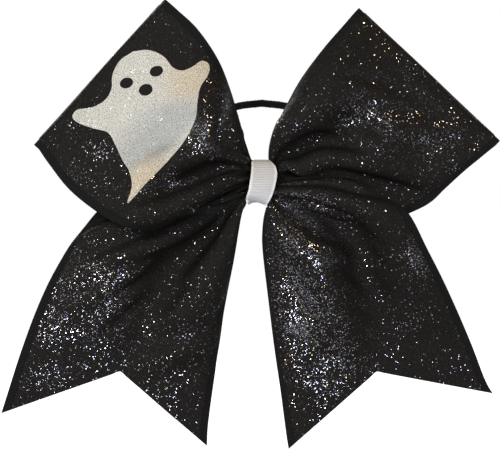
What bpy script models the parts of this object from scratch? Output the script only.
"""Cheer hair bow, built as an assembly of separate named pieces.

Frame: metres, +Z up as the bow is worn, +X to the viewer's right, the face of the bow towards -Y.
The origin lies in the flat back of the knot, the face that rests against the hair.

One strip of 3 inch grosgrain ribbon with a glitter film on one face makes the two loops and the
two tails. It is pinched at the knot, so its crossing is one piece (ribbon_core) and each length
that leaves the knot is a piece of its own, hinged where the ribbon bends at the pinch.
"""

import math

import bmesh
import bpy
import numpy as np
from mathutils import Matrix, Vector

MM = 0.001

# ---------------------------------------------------------------- driving dimensions, in mm
REST_GAP = 0.3  # kept between pieces that lie on each other

RIBBON_WIDTH = 76.2  # 3 inch grosgrain
RIBBON_THICKNESS = 0.5
SELVAGE = 3.05  # bare ribbed edge on each side of the glitter film
FILM_THICKNESS = 0.3
FILM_LIFT = RIBBON_THICKNESS / 2 + REST_GAP + FILM_THICKNESS / 2  # between middle surfaces
ROOT_LIFT = 0.55  # by which the film's cut end stands further off the gathered ribbon
ROOT = 3.4  # where the lengths of ribbon begin inside the band, from the middle
ROOT_HEIGHT = 0.88  # of a length of ribbon at its root, as a share of its height at the band
PLEAT = 0.6  # depth of the gathers beside the knot
PLEAT_COUNT = 2.5  # gathers across the width
FOLD_RADIUS = 2.5  # of the loops' outer creases
CREASE_Y = -9.5  # depth of the middle of the creases
FRONT_BULGE, BACK_BULGE = -5.0, 1.5  # swell of a loop's layers along Y
TAIL_BULGE = -3.0
LEFT_SKEW, RIGHT_SKEW = 0.9, 0.55  # below 1 moves the front layer's swell to its top edge
ROWS = 10  # along a length of ribbon
COLUMNS = 10  # across it
FOLD_STEPS = 4  # round a crease

KNOT_DEPTH = 16.9  # back of the band to its front, where it starts to bow
KNOT_HALF_HEIGHT = 8.6
KNOT_RISE = 0.6  # its middle is this much above the cord
HINGE_X = 7.0  # distance of all four bending lines from the middle
LOOP_HINGE_Y = -10.5
LEFT_TAIL_HINGE = (-HINGE_X, -11.0, -4.5)
RIGHT_TAIL_HINGE = (HINGE_X, -14.0, 2.0)  # higher, as this tail lies over its loop

CORD_DIAMETER = 3.0  # hair elastic
CORD_Y = -4.9  # axis of the cord where it runs through the knot
CORD_LEAN = math.radians(30.0)  # the ring leans back off the loops
RING_HALF_WIDTH = 25.0
RING_HEIGHT = 37.0
RING_HALF_COUNT = 29  # points on the right half of the ring
JOINT_START = 11  # point of the ring where the joint begins
JOINT_GAP = 1.6 * REST_GAP  # from each end of the joint to the end of the cord
JOINT_SLEEVE = 0.15  # by which the joint's radius exceeds the cord's

CORE_LENGTH = 5.2  # the ribbon's crossing inside the knot
CORE_HALF_HEIGHT = 7.0
CORE_ROUNDING = 2.9
CORE_BACK_Y = CORD_Y - CORD_DIAMETER / 2 - REST_GAP
CORE_FRONT_Y = -KNOT_DEPTH + 1.9

TIE_WIDTH = 2.5
TIE_THICKNESS = 0.8  # at the front and back; thinner over the top and bottom
TIE_HALF_HEIGHT = CORE_HALF_HEIGHT + 0.8
TIE_RADIUS = 3.0  # of its outer corners
TIE_HEAD = (4.0, 3.4, 4.4)
TIE_HEAD_Z = -4.3

WRAP_WIDTH = 9.5  # 3/8 inch grosgrain
WRAP_THICKNESS = 0.5
WRAP_LEAN = math.radians(6.0)  # the band leans a little across the knot
WRAP_BEND = 3.6  # radius of the band's middle line at its corners
WRAP_INNER_LAP_Z = (-3.5, 0.0, 4.0)  # along the end that starts inside the lap
WRAP_OUTER_LAP_Z = (0.0, 4.0)  # along the end that closes it
WRAP_BOW = [(0.25, 3.0), (0.35, 0.0), (0.25, -3.0)]  # bow of the front towards -Y, z
GLUE_SIZE = (7.6, 0.4, 6.0)
GLUE_EDGE = 0.12

# ------------------------------------------------- edges of each length of ribbon, x, y, z in mm
# Every edge runs outward from the knot.
LEFT_LOOP_FRONT_TOP = [
    (-6.4, -12.6, 8.8), (-7.4, -13.2, 17.9), (-9.6, -14.0, 24.6), (-12.5, -15.2, 36.3),
    (-17.2, -15.8, 48.0), (-25.0, -15.0, 59.7), (-32.5, -12.9, 67.0),
]
LEFT_LOOP_FRONT_LOW = [
    (-6.6, -13.0, -2.0), (-13.3, -14.2, -4.4), (-22.2, -15.6, -8.6), (-31.2, -17.5, -12.8),
    (-39.4, -18.5, -17.0), (-46.8, -18.8, -18.2), (-55.4, -18.3, -16.0), (-64.7, -17.0, -10.9),
    (-74.9, -14.8, -2.7), (-82.5, -12.9, 6.6),
]
LEFT_LOOP_BACK_TOP = [
    (-6.4, -9.2, 8.8), (-7.6, -9.0, 17.9), (-9.9, -8.6, 24.6), (-12.9, -7.6, 36.3),
    (-17.6, -6.4, 48.0), (-25.2, -6.0, 59.5), (-32.7, -6.8, 66.8),
]
LEFT_LOOP_BACK_LOW = [
    (-6.6, -9.2, 1.2), (-20.0, -7.4, 1.2), (-35.0, -5.4, 0.8), (-48.0, -4.4, -0.8),
    (-60.0, -4.6, -3.0), (-69.5, -5.4, -2.2), (-76.5, -6.2, 1.8), (-82.7, -6.9, 7.2),
]
RIGHT_LOOP_FRONT_TOP = [
    (7.0, -12.2, 7.8), (6.2, -12.8, 15.0), (6.5, -13.4, 21.2), (8.8, -14.5, 28.5),
    (15.2, -15.6, 40.2), (23.8, -15.6, 51.9), (32.4, -13.2, 62.0),
]
RIGHT_LOOP_FRONT_LOW = [
    (6.8, -11.2, 2.2), (12.9, -10.4, -1.2), (22.6, -9.4, -7.8), (34.3, -8.8, -13.0),
    (44.1, -8.8, -14.6), (51.9, -9.2, -13.7), (56.9, -9.9, -12.1), (65.5, -11.4, -7.8),
    (71.5, -12.2, -2.0), (79.2, -12.6, 5.1), (86.0, -12.3, 10.6),
]
RIGHT_LOOP_BACK_TOP = [
    (6.8, -9.2, 7.8), (6.4, -9.0, 15.0), (6.9, -8.8, 21.2), (9.2, -8.2, 28.5),
    (15.6, -6.6, 40.2), (24.0, -6.2, 51.7), (32.6, -6.8, 61.8),
]
RIGHT_LOOP_BACK_LOW = [
    (6.6, -8.9, 0.6), (15.0, -8.0, -2.4), (26.0, -6.4, -7.2), (40.0, -5.2, -11.0),
    (52.0, -4.9, -11.0), (63.0, -5.4, -7.0), (72.0, -6.1, 0.2), (82.0, -6.8, 8.0),
]
# outermost line of each crease, top corner and side corner, x and z
LEFT_CREASE = [(-37.8, 71.8), (-88.9, 14.8)]
RIGHT_CREASE = [(37.8, 68.3), (92.8, 16.4)]
LEFT_TAIL_OUTER = [
    (-6.8, -10.9, -1.8), (-18.3, -9.4, -1.8), (-32.0, -7.8, -1.6), (-43.7, -6.4, -2.2),
    (-53.4, -5.4, -4.4), (-60.0, -4.9, -7.4), (-64.7, -4.6, -10.9), (-70.6, -4.3, -18.3),
    (-76.4, -4.2, -26.1), (-83.1, -4.2, -37.8), (-88.5, -4.3, -49.5), (-94.4, -4.5, -65.1),
    (-99.5, -4.8, -80.7), (-102.2, -5.0, -89.3),
]
LEFT_TAIL_INNER = [
    (-6.8, -10.9, -6.6), (-7.7, -10.5, -11.5), (-9.0, -9.8, -18.3), (-11.1, -8.4, -30.0),
    (-14.2, -6.6, -45.6), (-17.2, -5.2, -65.1), (-19.5, -4.6, -80.7), (-21.2, -4.4, -94.4),
    (-21.6, -4.4, -102.2),
]
RIGHT_TAIL_OUTER = [
    (6.8, -13.0, 1.2), (18.7, -16.2, 2.0), (32.4, -18.8, 2.2), (40.2, -19.4, -0.4),
    (48.0, -19.2, -5.5), (56.9, -18.2, -12.1), (64.4, -15.2, -26.1), (72.5, -11.2, -41.7),
    (81.5, -7.6, -61.2), (87.4, -5.8, -76.0), (90.5, -5.2, -81.5),
]
RIGHT_TAIL_INNER = [
    (6.8, -11.8, -7.8), (3.6, -11.4, -12.5), (1.0, -10.8, -18.3), (0.4, -9.8, -26.1),
    (2.7, -7.8, -45.6), (5.1, -6.2, -65.1), (7.4, -5.4, -80.7), (9.4, -5.0, -96.3),
    (10.5, -5.0, -103.4),
]
# point of each tail's V cut, x and z
LEFT_TAIL_NOTCH = (-55.6, -72.9)
RIGHT_TAIL_NOTCH = (44.9, -72.9)

# right half of the elastic's ring from its foot to its far end, x and distance up the ring
RING_RIGHT_HALF = [
    (0.0, 0.0), (3.5, 0.0), (7.0, 0.0), (11.0, 0.3), (16.0, 2.0), (21.0, 6.4),
    (RING_HALF_WIDTH - 0.5, 12.5), (RING_HALF_WIDTH, 19.0), (RING_HALF_WIDTH - 2.6, 26.0),
    (17.5, 31.6), (9.5, 35.6), (0.0, RING_HEIGHT),
]

# the appliqued ghost: an outline across and up from its middle, in mm, clockwise from its crown
GHOST_MIDDLE = (-43.0, 30.4)
GHOST_TILT = math.radians(19.0)
GHOST_SIZE = 0.98
GHOST_SWAY = 0.019  # how far the tail sways aside, over its distance down squared
GHOST_POINTS = 65  # along the smoothed outline
GHOST_HOLE_POINTS = 16
GHOST_CUT_DEPTH = 60  # the cutter's reach to each side of the plane y = 0
GHOST_OUTLINE = [
    (0.0, 22.5), (6.2, 20.8), (10.8, 16.4), (12.8, 11.2), (16.0, 8.6), (20.4, 8.8), (24.6, 9.8),
    (26.8, 7.4), (25.0, 3.6), (20.6, 0.0), (18.2, -5.0), (17.0, -11.5), (13.6, -18.5),
    (8.4, -24.0), (3.4, -29.0), (0.0, -34.0), (-2.8, -28.5), (-7.4, -22.5), (-12.6, -17.0),
    (-16.4, -11.0), (-19.4, -5.0), (-24.4, -1.6), (-29.4, 2.2), (-31.4, 5.6), (-28.6, 7.8),
    (-22.4, 6.8), (-16.8, 7.8), (-13.0, 11.2), (-10.8, 16.4), (-6.2, 20.8), (0.0, 22.5),
]
GHOST_HOLES = [  # middle across, middle up, half width, half height
    (-6.6, 11.4, 2.7, 2.1), (6.2, 11.8, 2.7, 2.1), (-0.2, 6.2, 2.8, 2.3),
]

# turns of flat outlines
FACING = (math.pi / 2, 0.0, 0.0)  # drawn x, z and extruded along Y
SECTION = (math.pi / 2, 0.0, math.pi / 2)  # drawn y, z and extruded along X

MATERIALS = {
    "black_grosgrain": dict(colour=(0.012, 0.011, 0.011), roughness=0.75),
    "black_glitter": dict(colour=(0.03, 0.028, 0.028), roughness=0.4, metallic=0.3),
    "white_glitter": dict(colour=(0.72, 0.70, 0.64), roughness=0.45),
    "white_grosgrain": dict(colour=(0.72, 0.71, 0.70), roughness=0.7),
    "black_elastic": dict(colour=(0.006, 0.006, 0.006), roughness=0.8),
    "hot_glue": dict(colour=(0.70, 0.66, 0.55), roughness=0.35),
    "black_nylon": dict(colour=(0.01, 0.01, 0.01), roughness=0.4),
    "fused_rubber": dict(colour=(0.01, 0.01, 0.01), roughness=0.5),
}


# ---------------------------------------------------------------- scene helpers
def clear_scene():
    for obj in list(bpy.data.objects):
        bpy.data.objects.remove(obj, do_unlink=True)


def new_collection(name):
    found = bpy.data.collections.get(name)
    if found is None:
        found = bpy.data.collections.new(name)
        bpy.context.scene.collection.children.link(found)
    return found


def new_material(name, colour, roughness, metallic=0.0):
    mat = bpy.data.materials.new(name)
    mat.use_nodes = True
    shader = mat.node_tree.nodes["Principled BSDF"]
    shader.inputs["Base Color"].default_value = (*colour, 1.0)
    shader.inputs["Roughness"].default_value = roughness
    shader.inputs["Metallic"].default_value = metallic
    mat.diffuse_color = (*colour, 1.0)
    return mat


def add_object(name, data, collection, mat=None, parent=None):
    obj = bpy.data.objects.new(name, data)
    collection.objects.link(obj)
    if mat is not None:
        data.materials.append(mat)
    obj.parent = parent
    return obj


def add_pivot(name, where, collection):
    pivot = add_object(name, None, collection)
    pivot.empty_display_type = "ARROWS"
    pivot.empty_display_size = 0.01
    pivot.location = Vector(where) * MM
    return pivot


def add_boolean(obj, name, operation, cutter):
    """Combines obj with cutter, which is kept out of the render."""
    cutter.hide_render = True
    cutter.display_type = "WIRE"
    boolean = obj.modifiers.new(name, "BOOLEAN")
    boolean.operation, boolean.object, boolean.solver = operation, cutter, "EXACT"


def mesh_from(curve, collection, mat):
    """Replaces a curve object by a mesh object at the same place, with its caps welded."""
    bpy.context.view_layer.update()
    evaluated = curve.evaluated_get(bpy.context.evaluated_depsgraph_get())
    mesh = bpy.data.meshes.new_from_object(evaluated)
    mesh.materials.clear()
    bm = bmesh.new()
    bm.from_mesh(mesh)
    bmesh.ops.remove_doubles(bm, verts=bm.verts, dist=1e-6)
    bmesh.ops.recalc_face_normals(bm, faces=bm.faces)
    bm.to_mesh(mesh)
    bm.free()
    name, parent, placing = curve.name, curve.parent, curve.matrix_basis.copy()
    bpy.data.objects.remove(curve, do_unlink=True)
    mesh.name = name
    solid = add_object(name, mesh, collection, mat, parent)
    solid.matrix_basis = placing
    return solid


def add_poly_spline(curve_data, points, cyclic=False):
    """Adds a spline of straight pieces through points x, y, z in mm."""
    spline = curve_data.splines.new("POLY")
    spline.points.add(len(points) - 1)
    for point, (x, y, z) in zip(spline.points, points):
        point.co = (x * MM, y * MM, z * MM, 1)
    spline.use_cyclic_u = cyclic


def outline_prism(name, outlines, half_depth, collection, mat, rotation, parent=None):
    """A flat outline, with any further outlines as its holes, extruded both ways."""
    data = bpy.data.curves.new(name, "CURVE")
    data.dimensions = "2D"
    data.fill_mode = "BOTH"
    data.extrude = half_depth * MM
    for outline in outlines:
        add_poly_spline(data, [(x, y, 0) for x, y in outline], cyclic=True)
    curve = add_object(name, data, collection, parent=parent)
    curve.rotation_euler = rotation
    return mesh_from(curve, collection, mat)


def swept_cord(name, points, radius, collection, mat, pivot):
    """A round cord along points, with filled ends."""
    data = bpy.data.curves.new(name, "CURVE")
    data.dimensions = "3D"
    data.bevel_depth = radius * MM
    data.bevel_resolution = 2
    data.use_fill_caps = True
    add_poly_spline(data, points)
    solid = mesh_from(add_object(name, data, collection, parent=pivot), collection, mat)
    solid.data.shade_smooth()
    solid.data.set_sharp_from_angle(angle=math.radians(40))


def box_mesh(name, size, middle=(0, 0, 0)):
    bm = bmesh.new()
    bmesh.ops.create_cube(bm, size=1)
    mesh = bpy.data.meshes.new(name)
    bm.to_mesh(mesh)
    bm.free()
    mesh.transform(Matrix.LocRotScale(Vector(middle) * MM, None, Vector(size) * MM))
    return mesh


# ---------------------------------------------------------------- curves and surfaces
def through(points, count):
    """count points spaced evenly along a smooth curve through the given ones."""
    given = np.array(points, float)
    padded = np.vstack([2 * given[0] - given[1], given, 2 * given[-1] - given[-2]])
    dense = []
    for before, start, end, after in zip(padded, padded[1:], padded[2:], padded[3:]):
        for t in np.linspace(0, 1, 24, endpoint=False):
            dense.append(
                0.5 * (2 * start + (end - before) * t
                       + (2 * before - 5 * start + 4 * end - after) * t**2
                       + (3 * start - before - 3 * end + after) * t**3)
            )
    dense = np.array(dense + [given[-1]])
    run = np.concatenate([[0], np.cumsum(np.linalg.norm(np.diff(dense, axis=0), axis=1))])
    wanted = np.linspace(0, run[-1], count)
    return np.stack([np.interp(wanted, run, axis) for axis in dense.T], 1)


def arc(centre_y, centre_z, start, radius, steps):
    """Points y, z of a quarter turn from start, in degrees."""
    angles = [math.radians(start + 90 * k / steps) for k in range(steps + 1)]
    return [(centre_y + radius * math.cos(a), centre_z + radius * math.sin(a)) for a in angles]


def shares_across():
    """Shares of the width: the selvage lines, and even steps across the film between them."""
    edge = SELVAGE / RIBBON_WIDTH
    return np.concatenate([[0.0], np.linspace(edge, 1 - edge, COLUMNS - 1), [1.0]])


def spanned(first_edge, second_edge, bulge, skew=1.0):
    """A sheet from edge to edge, swelling in its middle and gathered beside the knot."""
    along = np.linspace(0, 1, ROWS + 1)[:, None]
    across = shares_across()[None, :]
    first = through(first_edge, ROWS + 1)[:, None, :]
    second = through(second_edge, ROWS + 1)[:, None, :]
    sheet = first + (second - first) * across[..., None]
    swell = bulge * np.sin(math.pi * along) * np.sin(math.pi * across**skew)
    gathers = PLEAT * (1 - along) ** 3 * np.cos(2 * math.pi * PLEAT_COUNT * across)
    sheet[:, :, 1] += swell + gathers
    return sheet


def with_root(sheet):
    """The sheet with one more row before its first, inside the band."""
    root = sheet[:1].copy()
    root[..., 0] = math.copysign(ROOT, root[0, 0, 0])
    root[..., 2] *= ROOT_HEIGHT
    return np.concatenate([root, sheet])


def loop_layer(top, low, fold_row, bulge, skew=1.0):
    """One layer of a loop, rows from the knot to the start of its crease."""
    return with_root(spanned([*top, fold_row[0]], [*low, fold_row[-1]], bulge, skew))


def loop_sheet(front, back, crease, skew):
    """A loop's middle surface: out along the front layer, round the crease, back to the knot."""
    top_corner, side_corner = (np.array([x, CREASE_Y, z]) for x, z in crease)
    line = side_corner - top_corner
    outward = np.array([-line[2], 0, line[0]]) / np.linalg.norm(line)
    if outward @ (top_corner + side_corner) < 0:
        outward = -outward

    fold = []
    for angle in np.linspace(-math.pi / 2, math.pi / 2, FOLD_STEPS + 1):
        inset = -FOLD_RADIUS * (1 - math.cos(angle)) * outward
        shift = inset + np.array([0, FOLD_RADIUS * math.sin(angle), 0])
        fold.append(top_corner + shift + line * shares_across()[:, None])
    near = loop_layer(*front, fold[0], FRONT_BULGE, skew)
    far = loop_layer(*back, fold[-1], BACK_BULGE)
    return np.concatenate([near, np.array(fold[1:-1]), far[::-1]])


def tail_sheet(outer, inner, notch):
    """A tail's middle surface, rows from the knot to the V cut."""
    sheet = spanned(outer, inner, TAIL_BULGE)
    middle = (sheet[-1, 0] + sheet[-1, -1]) / 2
    lift = np.array([notch[0] - middle[0], 0, notch[1] - middle[2]])
    along = np.linspace(0, 1, ROWS + 1)[:, None, None]
    across = shares_across()[None, :, None]
    return with_root(sheet + lift * (1 - abs(2 * across - 1)) * along**3)


def raised(sheet, lift):
    """The sheet moved by lift along its normals."""
    faces = np.cross(sheet[1:, 1:] - sheet[:-1, :-1], sheet[:-1, 1:] - sheet[1:, :-1])
    faces /= np.linalg.norm(faces, axis=2, keepdims=True)
    normals = np.zeros_like(sheet)
    for rows in (slice(1, None), slice(None, -1)):
        for cols in (slice(1, None), slice(None, -1)):
            normals[rows, cols] += faces
    return sheet + lift * normals / np.linalg.norm(normals, axis=2, keepdims=True)


def sheet_object(name, sheet, collection, mat, pivot, thickness):
    """A grid bent to sheet and given its thickness."""
    rows, cols = sheet.shape[:2]
    origin = np.array(pivot.location) / MM
    bm = bmesh.new()
    bmesh.ops.create_grid(bm, x_segments=cols - 1, y_segments=rows - 1, size=1.0)
    bm.verts.ensure_lookup_table()
    for vert, where in zip(bm.verts, sheet.reshape(-1, 3)):
        vert.co = Vector((where - origin) * MM)
    mesh = bpy.data.meshes.new(name)
    bm.to_mesh(mesh)
    bm.free()
    obj = add_object(name, mesh, collection, mat, pivot)
    obj.modifiers.new("Split quads", "TRIANGULATE").quad_method = "FIXED"
    skin = obj.modifiers.new("Thickness", "SOLIDIFY")
    skin.thickness, skin.offset = thickness * MM, 0.0
    mesh.shade_smooth()
    return obj


# ---------------------------------------------------------------- ribbon, film and applique
def ribbon_sheets():
    """The middle surface of each length of ribbon."""
    return {
        "left_loop": loop_sheet((LEFT_LOOP_FRONT_TOP, LEFT_LOOP_FRONT_LOW),
                                (LEFT_LOOP_BACK_TOP, LEFT_LOOP_BACK_LOW),
                                LEFT_CREASE, LEFT_SKEW),
        "right_loop": loop_sheet((RIGHT_LOOP_FRONT_TOP, RIGHT_LOOP_FRONT_LOW),
                                 (RIGHT_LOOP_BACK_TOP, RIGHT_LOOP_BACK_LOW),
                                 RIGHT_CREASE, RIGHT_SKEW),
        "left_tail": tail_sheet(LEFT_TAIL_OUTER, LEFT_TAIL_INNER, LEFT_TAIL_NOTCH),
        "right_tail": tail_sheet(RIGHT_TAIL_OUTER, RIGHT_TAIL_INNER, RIGHT_TAIL_NOTCH),
    }


def build_length(name, sheet, bow, materials, pivot):
    """A length of ribbon and the glitter film on its outer face."""
    sheet_object(f"{name}_ribbon", sheet, bow, materials["black_grosgrain"], pivot,
                 RIBBON_THICKNESS)
    # a sheet's normals point to the outer face on the left and away from it on the right
    side = 1.0 if name.startswith("left") else -1.0
    lift = np.full((len(sheet), 1, 1), FILM_LIFT)
    if name.endswith("loop"):  # the film starts outside the band
        lift[[1, -2]] += ROOT_LIFT
        film = raised(sheet, side * lift)[1:-1, 1:-1]
    else:  # and, where a tail turns sharply down, one row further out
        film = raised(sheet, side * lift)[2:, 1:-1]
    sheet_object(f"{name}_glitter", film, bow, materials["black_glitter"], pivot,
                 FILM_THICKNESS)


def placed_on_loop(points):
    """Sways the ghost's tail aside, then tilts the figure and moves it onto the loop."""
    points = points * GHOST_SIZE
    points[:, 0] -= GHOST_SWAY * np.minimum(points[:, 1], 0) ** 2
    cosine, sine = math.cos(GHOST_TILT), math.sin(GHOST_TILT)
    return points @ np.array([[cosine, sine], [-sine, cosine]]) + np.array(GHOST_MIDDLE)


def build_ghost(loop, bow, cutters, mat, pivot):
    """A patch that follows the left loop's front, cut to the figure's outline."""
    front = raised(loop, FILM_LIFT + FILM_THICKNESS + REST_GAP)[: ROWS + 2, 1:-1]
    patch = sheet_object("ghost_applique", front, bow, mat, pivot, FILM_THICKNESS)
    outlines = [through(GHOST_OUTLINE, GHOST_POINTS)[:-1]]
    turn = np.linspace(0, 2 * math.pi, GHOST_HOLE_POINTS, endpoint=False)
    for across, up, half_width, half_height in GHOST_HOLES:
        outlines.append(np.stack([across + half_width * np.cos(turn),
                                  up + half_height * np.sin(turn)], 1))
    cutter = outline_prism("ghost_cutter", [placed_on_loop(points) for points in outlines],
                           GHOST_CUT_DEPTH, cutters, mat, FACING)
    add_boolean(patch, "Cut to the figure", "INTERSECT", cutter)


# ---------------------------------------------------------------- the knot
def core_face(face_y, inward, groove_depth, grooves, steps):
    """One grooved face of the core, y and z from bottom to top; inward is its sign along Y."""
    points = []
    for k in range(steps + 1):
        height = CORE_HALF_HEIGHT * (2 * k / steps - 1)
        over = max(0.0, abs(height) - (CORE_HALF_HEIGHT - CORE_ROUNDING))
        rounding = CORE_ROUNDING - math.sqrt(max(0.0, CORE_ROUNDING**2 - over**2))
        groove = groove_depth * (1 - math.cos(2 * math.pi * grooves * k / steps))
        points.append((face_y + inward * (groove + rounding), KNOT_RISE + height))
    return points


def build_core(bow, mat, knot):
    """The strip's crossing, gathered into a pleated bundle between the loops."""
    back = core_face(CORE_BACK_Y, inward=-1, groove_depth=0.35, grooves=2, steps=16)
    front = core_face(CORE_FRONT_Y, inward=1, groove_depth=0.9, grooves=3, steps=28)
    outline_prism("ribbon_core", [back + front[::-1]], CORE_LENGTH / 2, bow, mat, SECTION, knot)


def rounded_box(low_y, high_y, half_height, radius):
    """Outline of a rounded rectangle in the knot's section, y and z."""
    top, low = KNOT_RISE + half_height - radius, KNOT_RISE - half_height + radius
    points = []
    for centre_y, centre_z, start in (
        (high_y - radius, top, 0), (low_y + radius, top, 90),
        (low_y + radius, low, 180), (high_y - radius, low, 270),
    ):
        points += arc(centre_y, centre_z, start, radius, steps=5)
    return points


def build_tie(bow, cutters, mat, knot):
    """A strap round the core and the cord, with its head in the space below the cord."""
    back, front = CORD_Y + CORD_DIAMETER / 2 + REST_GAP, CORE_FRONT_Y - REST_GAP
    outer = rounded_box(front - TIE_THICKNESS, back + TIE_THICKNESS, TIE_HALF_HEIGHT, TIE_RADIUS)
    inner = rounded_box(front, back, CORE_HALF_HEIGHT + REST_GAP, TIE_RADIUS - TIE_THICKNESS)
    tie = outline_prism("cable_tie", [outer, inner], TIE_WIDTH / 2, bow, mat, SECTION, knot)
    head_y = back + TIE_THICKNESS / 2 - TIE_HEAD[1] / 2
    head_mesh = box_mesh("tie_head_cutter", TIE_HEAD, (0, head_y, TIE_HEAD_Z))
    head = add_object("tie_head_cutter", head_mesh, cutters)
    add_boolean(tie, "Head", "UNION", head)


def build_wrap(bow, mat, knot):
    """Narrow ribbon once round the knot, its ends lapped over each other at the back."""
    half = WRAP_THICKNESS / 2
    inner_lap = -(WRAP_THICKNESS + GLUE_SIZE[1] + 2 * REST_GAP) - half
    outer_lap = -half
    face = -KNOT_DEPTH + half
    top = KNOT_RISE + KNOT_HALF_HEIGHT - half - WRAP_BEND
    low = KNOT_RISE - KNOT_HALF_HEIGHT + half + WRAP_BEND

    path = [(inner_lap, z) for z in WRAP_INNER_LAP_Z]
    path += arc(inner_lap - WRAP_BEND, top, 0, WRAP_BEND, steps=6)
    path += arc(face + WRAP_BEND, top, 90, WRAP_BEND, steps=6)
    path += [(face - bow_out, z) for bow_out, z in WRAP_BOW]
    path += arc(face + WRAP_BEND, low, 180, WRAP_BEND, steps=6)
    path += arc(outer_lap - WRAP_BEND, low, 270, WRAP_BEND, steps=6)
    path += [(outer_lap, z) for z in WRAP_OUTER_LAP_Z]

    line = np.array(path)
    step = np.gradient(line, axis=0)
    normal = np.stack([step[:, 1], -step[:, 0]], 1) / np.linalg.norm(step, axis=1)[:, None]
    normal[:2] = normal[-2:] = (1.0, 0.0)  # keeps both ends flat
    band = np.vstack([line + normal * half, (line - normal * half)[::-1]])
    wrap = outline_prism("centre_wrap", [band], WRAP_WIDTH / 2, bow, mat, SECTION, knot)
    # the turn of the section goes into the mesh, so that the object's own turn is its lean
    wrap.data.transform(wrap.matrix_basis)
    wrap.rotation_euler = (0, WRAP_LEAN, 0)


def build_glue(bow, mat, knot):
    """The pad of glue between the lapped ends of the wrap."""
    glue = add_object("wrap_glue", box_mesh("wrap_glue", GLUE_SIZE), bow, mat, knot)
    glue.location = (0, -(WRAP_THICKNESS + REST_GAP + GLUE_SIZE[1] / 2) * MM, 0)
    glue.rotation_euler = (0, WRAP_LEAN, 0)
    soft = glue.modifiers.new("Squeezed edge", "BEVEL")
    soft.width, soft.segments = GLUE_EDGE * MM, 2


# ---------------------------------------------------------------- the elastic
def build_elastic(bow, materials, pivot):
    """An oval ring whose foot runs straight through the knot, with a joint on its right."""
    half = through(RING_RIGHT_HALF, RING_HALF_COUNT)
    flat = np.vstack([half, (half[1:-1] * (-1, 1))[::-1]])
    up = flat[:, 1]
    ring = np.stack([flat[:, 0], up * math.sin(CORD_LEAN), up * math.cos(CORD_LEAN)], 1)
    ring = np.roll(ring, -JOINT_START, axis=0)
    # the joint takes the first stretch and the cord the rest, a gap short of it at both ends
    gap = JOINT_GAP / np.linalg.norm(ring[1] - ring[0])
    first = ring[1] + (ring[2] - ring[1]) * gap
    last = ring[0] + (ring[-1] - ring[0]) * gap
    radius = CORD_DIAMETER / 2
    swept_cord("hair_elastic", [first, *ring[2:], last], radius, bow,
               materials["black_elastic"], pivot)
    swept_cord("elastic_joint", ring[:2], radius + JOINT_SLEEVE, bow,
               materials["fused_rubber"], pivot)


def build():
    clear_scene()
    bow = new_collection("cheer_hair_bow")
    cutters = new_collection("cutters")
    materials = {name: new_material(name, **look) for name, look in MATERIALS.items()}
    knot = add_pivot("knot_frame", (0, 0, 0), bow)
    hinges = {
        "left_loop": (-HINGE_X, LOOP_HINGE_Y, 0),
        "right_loop": (HINGE_X, LOOP_HINGE_Y, 0),
        "left_tail": LEFT_TAIL_HINGE,
        "right_tail": RIGHT_TAIL_HINGE,
        "elastic": (0, CORD_Y, 0),
    }
    pivots = {name: add_pivot(f"{name}_pivot", where, bow) for name, where in hinges.items()}

    sheets = ribbon_sheets()
    for name, sheet in sheets.items():
        build_length(name, sheet, bow, materials, pivots[name])
    build_ghost(sheets["left_loop"], bow, cutters, materials["white_glitter"],
                pivots["left_loop"])
    build_core(bow, materials["black_grosgrain"], knot)
    build_tie(bow, cutters, materials["black_nylon"], knot)
    build_wrap(bow, materials["white_grosgrain"], knot)
    build_glue(bow, materials["hot_glue"], knot)
    build_elastic(bow, materials, pivots["elastic"])


build()
